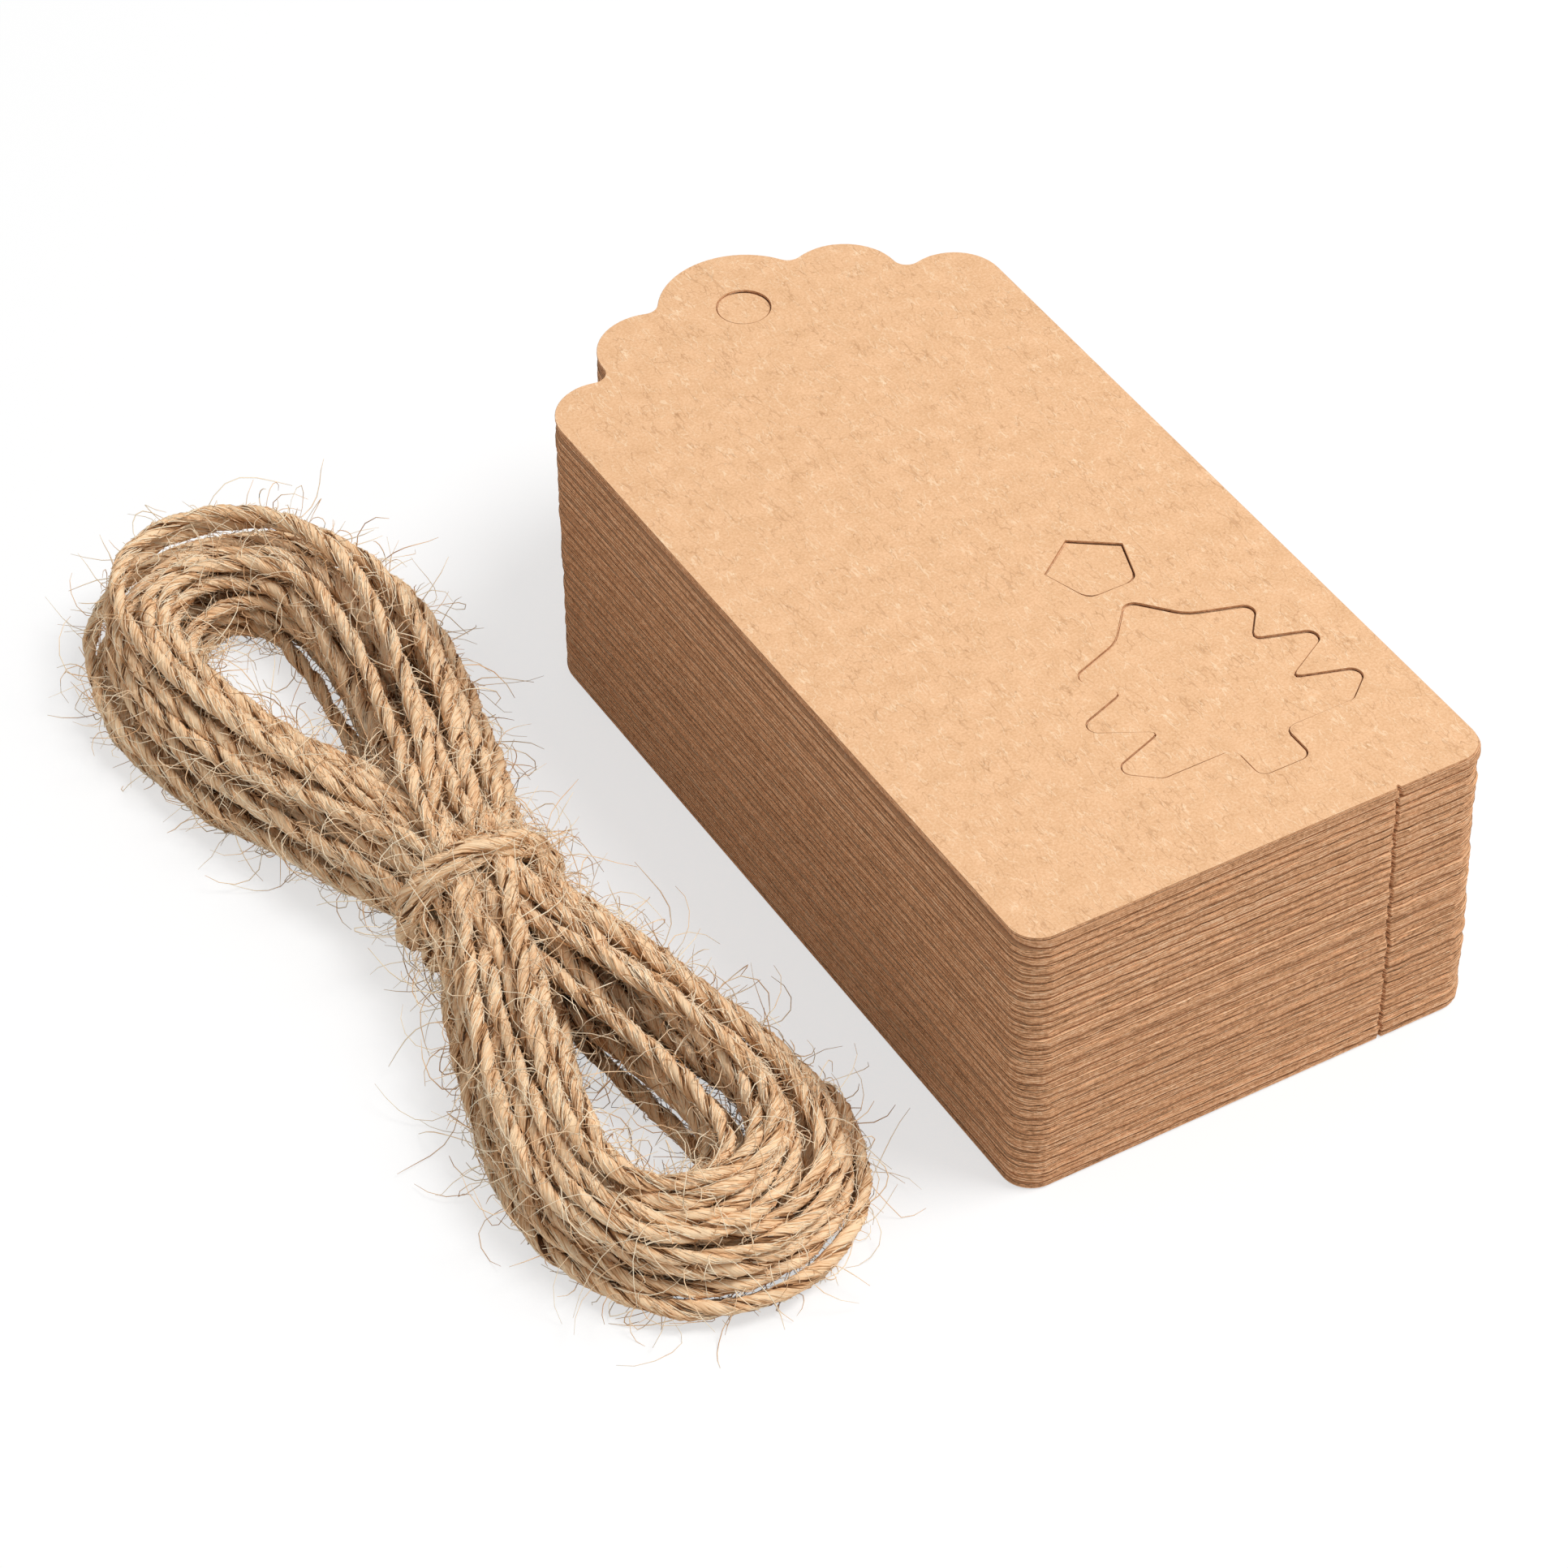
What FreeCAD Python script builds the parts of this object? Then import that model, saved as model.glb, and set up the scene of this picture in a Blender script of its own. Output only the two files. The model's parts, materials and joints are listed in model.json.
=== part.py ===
# Pack of one hundred card gift tags with a tied hank of jute twine beside it.
# Each tag is a thin plate with a scalloped end, a string hole and two pop-out shapes, all die-cut.
# The origin is the middle of the stack's underside: +X across the tags, +Y to the scalloped end, +Z up.
import FreeCAD, Part
import math
import os
import Sketcher

Vector = FreeCAD.Vector
upward = Vector(0, 0, 1)

# Driving dimensions in millimetres: name, value, what it measures.
drivingSizes = [
    ("tagWidth", 50.0, "across one tag"),
    ("tagLength", 100.8, "square end to the top of the crown"),
    ("cardThickness", 0.30, "one card"),
    ("cardAir", 0.02, "air between two stacked cards"),
    ("cornerRadius", 3.0, "rounded corners of the square end"),
    ("crownRadius", 8.6, "middle lobe of the scalloped end"),
    ("cheekRadius", 5.9, "lobe beside the crown"),
    ("cheekOffset", 10.8, "cheek centre from the tag's axis"),
    ("cheekDrop", 10.0, "cheek centre below the crown's top"),
    ("shoulderRadius", 5.1, "outer lobe, tangent to the tag's side"),
    ("shoulderDrop", 16.3, "shoulder centre below the crown's top"),
    ("notchRadius", 1.5, "hollow between two lobes"),
    ("holeDiameter", 5.5, "string hole, concentric with the crown"),
    ("dieGap", 0.12, "cut line between a tag and what pops out of it"),
    ("shapeOffset", 7.8, "axis of both pop-out shapes from the tag's axis"),
    ("starRise", 5.8, "centre of the five-sided pop-out above the tree's tip"),
    ("starRadius", 4.6, "corner of the five-sided pop-out from its centre"),
    ("treeBase", 12.2, "underside of the tree's low tier above the square end"),
    ("treeTip", 22.4, "sharp tip of the tree above its base"),
    ("topBendReach", 3.9, "half width where the tip's slope turns into the top tier"),
    ("topBendRise", 17.9, "height of that turn above the base"),
    ("topTierReach", 10.2, "half width of the top tier, before its ends are rounded"),
    ("lowTierReach", 14.0, "half width of the two tiers below"),
    ("tierDrop", 6.35, "from one tier's ends to the next"),
    ("lowTierRise", 3.0, "ends of the low tier above the base"),
    ("notchReach", 7.05, "half width where one tier meets the next"),
    ("notchRise", 5.4, "lower of those meetings above the base"),
    ("baseReach", 10.4, "half width of the base"),
    ("trunkReach", 2.7, "half width of the trunk"),
    ("trunkDrop", 4.4, "foot of the trunk below the base"),
    ("branchRounding", 1.0, "rounded ends of tip, tiers, base and trunk"),
    ("misalignment", 0.25, "how far a block of cards may lie out of line"),
    ("twineDiameter", 1.9, "jute twine"),
    ("twineAir", 0.35, "least air between the tie and what it holds"),
    ("layerStep", 2.42, "from one layer of loops to the next"),
    ("lobeStep", 2.9, "from one loop to the next in a lobe"),
    ("waistStep", 2.45, "from one loop to the next under the tie"),
    ("nearEyeReach", 5.8, "half width of the innermost loop, near lobe"),
    ("farEyeReach", 6.7, "half width of the innermost loop, far lobe"),
    ("nearTipReach", 45.0, "waist to the tip of the innermost loop, near lobe"),
    ("farTipReach", 53.9, "waist to the tip of the innermost loop, far lobe"),
    ("nearShift", 1.0, "how far the near lobe leans to the tags"),
    ("farShift", 0.8, "how far the far lobe leans from the tags"),
    ("waistLength", 12.0, "straight stretch of each run under the tie"),
    ("waistBend", 8.0, "radius of a run where it enters the waist"),
    ("hankOffset", 51.4, "hank's waist from the tags' axis"),
    ("waistPlace", 4.2, "middle of the waist from the middle of the tags"),
]
tagCount = 100
cardsPerBlock = 5  # cards that lie flush, and are one piece here
blockCount = 19
facetTurn = 0.75  # radians that one flat of a lobe turns by, on the cards that only show their edges
blockTurn = 2.4  # radians by which the blocks' misalignment turns from one to the next
loopsPerLayer = 4
layerCount = 4
tieTurns = 2
twineFacets = 5


class Measure:
    """A length in millimetres together with the sheet expression that gives it."""

    def __init__(self, value, text=None):
        self.value = float(value)
        self.text = text or repr(float(value))

    def combine(self, sign, other, value):
        return Measure(value, f"({self.text} {sign} {other.text})")

    def __add__(self, other):
        other = asMeasure(other)
        return self.combine("+", other, self.value + other.value)

    def __sub__(self, other):
        other = asMeasure(other)
        return self.combine("-", other, self.value - other.value)

    def __mul__(self, factor):
        factor = asMeasure(factor)
        return self.combine("*", factor, self.value * factor.value)

    def __truediv__(self, divisor):
        divisor = asMeasure(divisor)
        return self.combine("/", divisor, self.value / divisor.value)

    def __neg__(self):
        return Measure(0) - self


def asMeasure(thing):
    return thing if isinstance(thing, Measure) else Measure(thing)


document = FreeCAD.newDocument("GiftTags")
sheet = document.addObject("Spreadsheet::Sheet", "Sizes")
for row, (alias, value, meaning) in enumerate(drivingSizes, start=1):
    sheet.set(f"A{row}", meaning)
    sheet.set(f"B{row}", str(value))
    sheet.setAlias(f"B{row}", alias)
document.recompute()
size = {alias: Measure(sheet.get(alias), f"Sizes.{alias}") for alias, value, meaning in drivingSizes}

subparts = []  # every object that is written as a STEP file


def keep(thing, label):
    thing.Label = label
    subparts.append(thing)
    return thing


def bind(thing, path, measure):
    thing.setExpression(path, asMeasure(measure).text)


def place(thing, x=0, y=0, z=0):
    for axis, measure in zip("xyz", (x, y, z)):
        bind(thing, f".Placement.Base.{axis}", measure)


# ---- The stack's levels and the places that its pieces share ----

cardPitch = size["cardThickness"] + size["cardAir"]
tagTop = size["tagLength"] / 2
squareEnd = -size["tagLength"] / 2
crownCentre = tagTop - size["crownRadius"]


# ---- The tag's outline: lobes and hollows, each tangent to the next ----


def hollowCentre(first, firstReach, second, secondReach):
    """Point at the given distances from two lobes' centres, on the outer side of the scallops."""
    along = second - first
    gap = along.Length
    run = (firstReach**2 - secondReach**2 + gap**2) / (2 * gap)
    rise = math.sqrt(firstReach**2 - run**2)
    along.normalize()
    return first + along * run + Vector(along.y, -along.x, 0) * rise


def bearing(centre, point):
    return math.atan2(point.y - centre.y, point.x - centre.x)


def arcBetween(centre, radius, start, end):
    circle = Part.Circle(centre, upward, radius)
    return Part.ArcOfCircle(circle, bearing(centre, start), bearing(centre, end))


def fixSize(sketch, kind, geometry, measure, *position):
    measure = asMeasure(measure)
    index = sketch.addConstraint(Sketcher.Constraint(kind, geometry, *position, measure.value))
    sketch.setExpression(f"Constraints[{index}]", measure.text)


def addTagOutline(name):
    """One closed sketch, drawn anticlockwise from the square end's left corner."""
    shoulderOffset = size["tagWidth"] / 2 - size["shoulderRadius"]
    lobes = [  # radius, then the centre's place across and along the tag
        (size["shoulderRadius"], shoulderOffset, tagTop - size["shoulderDrop"]),
        (size["cheekRadius"], size["cheekOffset"], tagTop - size["cheekDrop"]),
        (size["crownRadius"], None, crownCentre),
        (size["cheekRadius"], -size["cheekOffset"], tagTop - size["cheekDrop"]),
        (size["shoulderRadius"], -shoulderOffset, tagTop - size["shoulderDrop"]),
    ]
    centres = [Vector(across.value if across else 0, along.value, 0) for radius, across, along in lobes]
    radii = [radius.value for radius, across, along in lobes]
    hollow = size["notchRadius"].value
    hollows = []
    for first, second, firstRadius, secondRadius in zip(centres, centres[1:], radii, radii[1:]):
        hollows.append(hollowCentre(first, firstRadius + hollow, second, secondRadius + hollow))

    side = size["tagWidth"].value / 2
    low = squareEnd.value
    corner = size["cornerRadius"].value
    cornerCentre = Vector(side - corner, low + corner, 0)
    mirrorCentre = Vector(corner - side, low + corner, 0)
    endOfSide = Vector(side, centres[0].y, 0)
    startOfMirror = Vector(-side, centres[-1].y, 0)
    edges = [
        Part.LineSegment(Vector(mirrorCentre.x, low, 0), Vector(cornerCentre.x, low, 0)),
        arcBetween(cornerCentre, corner, Vector(cornerCentre.x, low, 0), Vector(side, cornerCentre.y, 0)),
        Part.LineSegment(Vector(side, cornerCentre.y, 0), endOfSide),
    ]
    joins = [(0, 2, 1, 1), (1, 2, 2, 1)]  # edge and its end, next edge and its start
    lobeEdges = []
    hollowEdges = []
    entry = endOfSide
    for centre, radius, hollowPlace, nextCentre in zip(centres, radii, hollows, centres[1:]):
        edges.append(arcBetween(centre, radius, entry, hollowPlace))
        edges.append(arcBetween(hollowPlace, hollow, nextCentre, centre))
        lobeEdges.append(len(edges) - 2)
        hollowEdges.append(len(edges) - 1)
        entry = hollowPlace
    edges.append(arcBetween(centres[-1], radii[-1], entry, startOfMirror))
    lobeEdges.append(len(edges) - 1)
    sideEdge = len(edges)
    cornerEdge = sideEdge + 1
    edges.append(Part.LineSegment(startOfMirror, Vector(-side, mirrorCentre.y, 0)))
    edges.append(arcBetween(mirrorCentre, corner, Vector(-side, mirrorCentre.y, 0), Vector(mirrorCentre.x, low, 0)))

    joins.append((2, 2, lobeEdges[0], 1))
    for lobe, hollowEdge, nextLobe in zip(lobeEdges, hollowEdges, lobeEdges[1:]):
        joins.append((lobe, 2, hollowEdge, 2))
        joins.append((hollowEdge, 1, nextLobe, 1))
    joins += [(lobeEdges[-1], 2, sideEdge, 1), (sideEdge, 2, cornerEdge, 1), (cornerEdge, 2, 0, 1)]

    sketch = document.addObject("Sketcher::SketchObject", name)
    sketch.addGeometry(edges, False)
    for join in joins:
        sketch.addConstraint(Sketcher.Constraint("Tangent", *join))
    sketch.addConstraint(Sketcher.Constraint("Horizontal", 0))
    sketch.addConstraint(Sketcher.Constraint("Vertical", 2))
    sketch.addConstraint(Sketcher.Constraint("Vertical", sideEdge))
    fixSize(sketch, "DistanceY", 0, squareEnd, 1)
    for edge in (1, cornerEdge):
        fixSize(sketch, "Radius", edge, size["cornerRadius"])
    for edge in hollowEdges:
        fixSize(sketch, "Radius", edge, size["notchRadius"])
    for edge, (radius, across, along) in zip(lobeEdges, lobes):
        fixSize(sketch, "Radius", edge, radius)
        fixSize(sketch, "DistanceY", edge, along, 3)
        if across:
            fixSize(sketch, "DistanceX", edge, across, 3)
        else:
            sketch.addConstraint(Sketcher.Constraint("PointOnObject", edge, 3, -2))
    return sketch


def addFacetedOutline(name, outline):
    """The same outline with its lobes in short flats, for the cards that only show their edges."""
    points = []
    for edge in Part.Wire(Part.__sortEdges__(outline.Shape.Edges)).OrderedEdges:
        radius = getattr(edge.Curve, "Radius", 0)
        flats = 2 * round(edge.Length / radius / facetTurn / 2) if radius > size["notchRadius"].value else 1
        points += edge.discretize(Number=flats + 1)[:-1]
    faceted = document.addObject("Part::Feature", name)
    faceted.Shape = Part.makePolygon(points + points[:1])
    return faceted


def addCards(name, outline, thickness, x=0, y=0, z=0):
    cards = document.addObject("Part::Extrusion", name)
    cards.Base = outline
    cards.DirMode = "Custom"
    cards.Dir = upward
    cards.Solid = True
    bind(cards, "LengthFwd", thickness)
    place(cards, x, y, z)
    return cards


# ---- What pops out of a tag: the hole's disc, the five-sided star and the tree ----


def addDisc(name, z, clearance=0):
    disc = document.addObject("Part::Cylinder", name)
    bind(disc, "Radius", size["holeDiameter"] / 2 - clearance)
    bind(disc, "Height", size["cardThickness"])
    place(disc, 0, crownCentre, z)
    return disc


def addStar(name, z, clearance=0):
    """A regular five-sided plate with one corner towards the scalloped end."""
    star = document.addObject("Part::Prism", name)
    star.Polygon = 5
    cornerShare = math.cos(math.pi / star.Polygon)  # a side's distance from the centre, as a share of a corner's
    bind(star, "Circumradius", size["starRadius"] - asMeasure(clearance) / cornerShare)
    bind(star, "Height", size["cardThickness"])
    star.Placement = FreeCAD.Placement(Vector(0, 0, 0), FreeCAD.Rotation(upward, 90))
    place(star, size["shapeOffset"], squareEnd + size["treeBase"] + size["treeTip"] + size["starRise"], z)
    return star


treeCorners = [  # right half from tip to trunk: half width, height above the base, is it rounded
    (None, size["treeTip"], True),
    (size["topBendReach"], size["topBendRise"], False),
    (size["topTierReach"], size["lowTierRise"] + size["tierDrop"] * 2, True),
    (size["notchReach"], size["notchRise"] + size["tierDrop"], False),
    (size["lowTierReach"], size["lowTierRise"] + size["tierDrop"], True),
    (size["notchReach"], size["notchRise"], False),
    (size["lowTierReach"], size["lowTierRise"], True),
    (size["baseReach"], asMeasure(0), True),
    (size["trunkReach"], asMeasure(0), False),
    (size["trunkReach"], -size["trunkDrop"], True),
]


def originPlane(body, role):
    return next(plane for plane in body.Origin.OriginFeatures if plane.Role == role)


def addTree(name, z):
    """A three-tiered conifer: straight runs from corner to corner, its outer corners rounded."""
    body = document.addObject("PartDesign::Body", name)
    sketch = body.newObject("Sketcher::SketchObject", name + "Outline")
    sketch.AttachmentSupport = [(originPlane(body, "XY_Plane"), "")]
    sketch.MapMode = "FlatFace"
    mirrored = [(-across, along, rounded) for across, along, rounded in treeCorners[:0:-1]]
    corners = treeCorners + mirrored
    points = [Vector(across.value if across else 0, along.value, 0) for across, along, rounded in corners]
    for start, end in zip(points, points[1:] + points[:1]):
        sketch.addGeometry(Part.LineSegment(start, end), False)
    for edge, (across, along, rounded) in enumerate(corners):
        sketch.addConstraint(Sketcher.Constraint("Coincident", edge - 1 if edge else len(corners) - 1, 2, edge, 1))
        fixSize(sketch, "DistanceY", edge, along, 1)
        if across:
            fixSize(sketch, "DistanceX", edge, across, 1)
        else:
            sketch.addConstraint(Sketcher.Constraint("PointOnObject", edge, 1, -2))
    pad = body.newObject("PartDesign::Pad", name + "Card")
    pad.Profile = sketch
    bind(pad, "Length", size["cardThickness"])
    document.recompute()

    roundedPoints = [point for point, (across, along, rounded) in zip(points, corners) if rounded]
    uprights = []
    for number, edge in enumerate(pad.Shape.Edges, start=1):
        centre = edge.CenterOfMass
        isUpright = abs(edge.Vertexes[0].Point.z - edge.Vertexes[-1].Point.z) > edge.Length / 2
        if isUpright and any(math.hypot(centre.x - p.x, centre.y - p.y) < 1e-4 for p in roundedPoints):
            uprights.append(f"Edge{number}")
    fillet = body.newObject("PartDesign::Fillet", name + "Rounding")
    fillet.Base = (pad, uprights)
    bind(fillet, "Radius", size["branchRounding"])
    body.Tip = fillet
    place(body, size["shapeOffset"], squareEnd + size["treeBase"], z)
    return body


def grow(name, thing, amount):
    """The same solid, larger all round by the given amount."""
    larger = document.addObject("Part::Offset", name)
    larger.Source = thing
    larger.Join = "Arc"
    bind(larger, "Value", amount)
    return larger


def addCutTag(name, outline, z):
    """A tag with its hole and shapes punched, and the three pieces that still sit in them."""
    disc = keep(addDisc(name + "Disc", z, size["dieGap"]), name.replace("_tag", "_hole_disc"))
    star = keep(addStar(name + "Star", z, size["dieGap"]), name.replace("_tag", "_star"))
    tree = keep(addTree(name + "Tree", z), name.replace("_tag", "_tree"))
    punches = document.addObject("Part::MultiFuse", name + "Punches")
    punches.Shapes = [
        addDisc(name + "DiscPunch", z),
        addStar(name + "StarPunch", z),
        grow(name + "TreePunch", tree, size["dieGap"]),
    ]
    tag = document.addObject("Part::Cut", name)
    tag.Base = addCards(name + "Card", outline, size["cardThickness"], z=z)
    tag.Tool = punches
    return keep(tag, name)


def addStack():
    outline = addTagOutline("TagOutline")
    document.recompute()
    facetedOutline = addFacetedOutline("FacetedOutline", outline)

    def addPlainCards(label, first, count):
        turn = first / cardsPerBlock * blockTurn
        x = size["misalignment"] * math.sin(turn)
        y = size["misalignment"] * math.sin(2 * turn)
        cards = addCards(f"Cards{first}", facetedOutline, cardPitch * count - size["cardAir"], x, y, cardPitch * first)
        keep(cards, label)

    for number in range(blockCount):
        first = number * cardsPerBlock
        addPlainCards(f"tags_{first + 1:02d}_to_{first + cardsPerBlock:02d}", first, cardsPerBlock)
    for first in range(blockCount * cardsPerBlock, tagCount - 1):
        addPlainCards(f"tag_{first + 1:02d}", first, 1)
    addCutTag("top_tag", outline, cardPitch * (tagCount - 1))


# ---- The twine: one unbroken hank, and the tie round its waist ----


def roundedRoute(corners):
    """A wire of straight runs joined by tangent arcs.

    Corners are points with their arc's radius; without one, the arc takes half of the shorter side beside it.
    """
    edges = []
    start = corners[0][0]
    for (before, skipped), (corner, radius), (after, unused) in zip(corners, corners[1:], corners[2:]):
        back = before - corner
        onward = after - corner
        halfTurn = (math.pi - back.getAngle(onward)) / 2
        radius = radius or min(back.Length, onward.Length) / 2 / math.tan(halfTurn)
        setback = radius * math.tan(halfTurn)
        back.normalize()
        onward.normalize()
        arcStart = corner + back * setback
        arcEnd = corner + onward * setback
        middle = corner + (back + onward).normalize() * (radius / math.cos(halfTurn) - radius)
        if (arcStart - start).Length > 1e-3:
            edges.append(Part.LineSegment(start, arcStart).toShape())
            start = arcStart
        edges.append(Part.Arc(start, middle, arcEnd).toShape())
        start = arcEnd
    edges.append(Part.LineSegment(start, corners[-1][0]).toShape())
    return Part.Wire(edges)


def waistReach(ring):
    return size["waistStep"].value * (0.25 + ring)


def hankCorners():
    """Corners of the hank's route: runs to and fro through the waist, each a place further out or in."""
    diameter = size["twineDiameter"].value
    axis = -size["hankOffset"].value
    waist = size["waistPlace"].value
    lift = diameter + size["twineAir"].value
    lobes = {  # which way the lobe lies from the waist, its innermost loop's half width and tip, and its lean
        "near": (-1, size["nearEyeReach"].value, size["nearTipReach"].value, size["nearShift"].value),
        "far": (1, size["farEyeReach"].value, size["farTipReach"].value, -size["farShift"].value),
    }
    lastPlace = 2 * loopsPerLayer - 1
    runs = [(0, 0, 0)]  # place from the eye outward, layer in the lobe it comes from, layer in the next
    for layer in range(layerCount):
        inward = layer % 2
        places = range(1, lastPlace) if not inward else range(lastPlace - 1, 0, -1)
        runs += [(place, layer, layer) for place in places]
        if layer < layerCount - 1:
            runs.append((0 if inward else lastPlace, layer, layer + 1))
    runs.append((0, layerCount - 1, layerCount - 1))

    def level(layer):
        return diameter / 2 + layer * size["layerStep"].value

    def lobePoint(lobe, place, turnRing, layer):
        way, eye, tip, shift = lobes[lobe]
        side = 1 if place % 2 else -1
        reach = eye + place / 2 * size["lobeStep"].value
        along = waist + way * (tip + turnRing * size["lobeStep"].value)
        return Vector(axis + shift + side * reach, along, level(layer))

    def waistPoint(lobe, place, layer):
        side = 1 if place % 2 else -1
        along = waist + lobes[lobe][0] * size["waistLength"].value / 2
        return Vector(axis + side * waistReach(place / 2), along, level(layer) + lift)

    corners = []
    bend = size["waistBend"].value
    for number, (place, fromLayer, toLayer) in enumerate(runs):
        fromLobe, toLobe = ("far", "near") if number % 2 == 0 else ("near", "far")
        climb = (toLayer - fromLayer) / 3
        if number:
            turnRing = (runs[number - 1][0] + place) / 4
            corners.append((lobePoint(fromLobe, place, turnRing, fromLayer), None))
        corners.append((waistPoint(fromLobe, place, fromLayer + climb), bend))
        corners.append((waistPoint(toLobe, place, toLayer - climb), bend))
        if number < len(runs) - 1:
            turnRing = (runs[number + 1][0] + place) / 4
            corners.append((lobePoint(toLobe, place, turnRing, toLayer), None))
    return corners


def tieCorners():
    """Corners of the tie's route: flat against the floor, and a card's breadth off the waist elsewhere."""
    diameter = size["twineDiameter"].value
    clear = diameter + size["twineAir"].value
    axis = -size["hankOffset"].value
    left = axis - waistReach(loopsPerLayer - 1) - clear
    right = axis + waistReach(loopsPerLayer - 0.5) + clear
    low = diameter / 2
    high = low + 2 * clear + (layerCount - 1) * size["layerStep"].value
    pitch = size["layerStep"].value
    along = size["waistPlace"].value - pitch * tieTurns / 2
    corners = [(Vector(axis, along, low), clear)]
    for turn in range(tieTurns):
        for quarter, (x, z) in enumerate([(right, low), (right, high), (left, high), (left, low)]):
            corners.append((Vector(x, along + pitch * (turn + (quarter + 0.5) / 4), z), clear))
    corners.append((Vector(axis, along + pitch * tieTurns, low), clear))
    return corners


def leastGap(route):
    """Nearest that the twine's surface comes to itself, from points along its middle."""
    spacing = 0.4
    diameter = size["twineDiameter"].value
    cell = 2 * diameter
    grid = {}
    travelled = 0.0
    for edge in route.OrderedEdges:
        count = max(2, int(edge.Length / spacing) + 1)
        for step, point in enumerate(edge.discretize(Number=count)[:-1]):
            key = (int(point.x // cell), int(point.y // cell), int(point.z // cell))
            grid.setdefault(key, []).append((point, travelled + edge.Length * step / (count - 1)))
        travelled += edge.Length
    nearest = 10 * diameter
    around = [(i, j, k) for i in (-1, 0, 1) for j in (-1, 0, 1) for k in (-1, 0, 1)]
    for key, points in grid.items():
        neighbours = [other for i, j, k in around for other in grid.get((key[0] + i, key[1] + j, key[2] + k), [])]
        for point, place in points:
            for other, otherPlace in neighbours:
                if otherPlace - place > 4 * diameter:
                    nearest = min(nearest, (point - other).Length)
    return nearest - diameter


def sweepTwine(name, corners):
    route = roundedRoute(corners)
    start = route.OrderedEdges[0]
    first = start.valueAt(start.FirstParameter)
    heading = start.tangentAt(start.FirstParameter)
    across = heading.cross(upward).normalize()
    rise = across.cross(heading)
    facet = 2 * math.pi / twineFacets
    radius = size["twineDiameter"].value / 2
    section = []
    for number in range(twineFacets + 1):
        angle = (number + 0.5) * facet
        section.append(first + across * (radius * math.sin(angle)) - rise * (radius * math.cos(angle)))
    pipe = Part.BRepOffsetAPI.MakePipeShell(route)
    pipe.add(Part.makePolygon(section))
    pipe.build()
    pipe.makeSolid()
    twine = document.addObject("Part::Feature", name)
    twine.Shape = pipe.shape()
    sectionArea = twineFacets * radius**2 * math.sin(facet) / 2
    share = twine.Shape.Volume / (sectionArea * route.Length)
    tightest = min(edge.Curve.Radius for edge in route.Edges if hasattr(edge.Curve, "Radius"))
    print(f"{name}: {route.Length:.0f} mm long, tightest radius {tightest:.2f} mm, "
          f"least gap {leastGap(route):.2f} mm, volume {share:.4f} of section times length")
    return twine


def addTwine():
    keep(sweepTwine("Hank", hankCorners()), "twine_hank")
    keep(sweepTwine("Tie", tieCorners()), "twine_tie")


addStack()
addTwine()
document.recompute()
for thing in document.Objects:
    if "Invalid" in thing.State or "Error" in thing.State:
        raise RuntimeError(f"{thing.Label} did not build: {thing.State}")
os.makedirs("parts", exist_ok=True)
for thing in subparts:
    if thing.Shape.isNull() or not thing.Shape.isValid():
        raise RuntimeError(f"{thing.Label} has no valid shape")
    thing.Shape.exportStep(f"parts/{thing.Label}.step")
print(f"{tagCount} tags and a hank, in {len(subparts)} pieces")
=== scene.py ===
import bpy
import json
import math
import random
import numpy as np
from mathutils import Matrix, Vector

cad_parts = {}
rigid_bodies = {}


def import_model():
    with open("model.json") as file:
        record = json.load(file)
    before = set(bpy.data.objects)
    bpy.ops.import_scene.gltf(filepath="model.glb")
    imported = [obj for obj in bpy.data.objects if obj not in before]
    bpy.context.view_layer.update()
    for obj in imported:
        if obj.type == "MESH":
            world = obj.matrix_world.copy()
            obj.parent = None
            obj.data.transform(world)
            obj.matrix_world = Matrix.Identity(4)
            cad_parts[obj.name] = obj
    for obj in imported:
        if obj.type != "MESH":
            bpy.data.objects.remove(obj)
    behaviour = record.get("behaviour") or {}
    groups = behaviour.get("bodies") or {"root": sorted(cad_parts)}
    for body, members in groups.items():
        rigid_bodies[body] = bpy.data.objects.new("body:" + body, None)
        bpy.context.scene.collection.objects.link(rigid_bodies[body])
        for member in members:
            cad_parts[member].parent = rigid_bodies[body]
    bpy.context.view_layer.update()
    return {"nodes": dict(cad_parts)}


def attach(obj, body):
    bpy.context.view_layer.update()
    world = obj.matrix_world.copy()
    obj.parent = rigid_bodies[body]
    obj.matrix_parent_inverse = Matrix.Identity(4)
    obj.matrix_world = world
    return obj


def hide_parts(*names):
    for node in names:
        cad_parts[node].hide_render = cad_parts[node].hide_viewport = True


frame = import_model()
mm = 0.001


def pick(piece):
    if bpy.context.object and bpy.context.object.mode != "OBJECT":
        bpy.ops.object.mode_set(mode="OBJECT")
    bpy.ops.object.select_all(action="DESELECT")
    piece.select_set(True)
    bpy.context.view_layer.objects.active = piece


def applyPlace():
    bpy.ops.object.transform_apply(location=True, rotation=True, scale=True)


def smoothBelow(piece, degrees):
    pick(piece)
    bpy.ops.object.shade_smooth_by_angle(angle=math.radians(degrees))


def addAttribute(mesh, name, kind, field, values):  # one value, or one vector, to a vertex
    attribute = mesh.attributes.new(name, kind, "POINT")
    attribute.data.foreach_set(field, np.asarray(values, dtype=np.float32).ravel())


view = {
    "place": (-0.22382, -0.35640, 0.38466),
    "turn": (47.593, 0.893, -30.533),  # degrees
    "lens": 132.62, "sensor": 36,  # mm
    "near": 0.01, "far": 20,
}


def placeCamera():
    bpy.ops.object.camera_add(location=view["place"], rotation=[math.radians(a) for a in view["turn"]])
    camera = bpy.context.object
    camera.name = "tableCamera"
    camera.data.lens = view["lens"]
    camera.data.sensor_width = view["sensor"]
    camera.data.clip_start = view["near"]
    camera.data.clip_end = view["far"]
    bpy.context.scene.camera = camera


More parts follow.
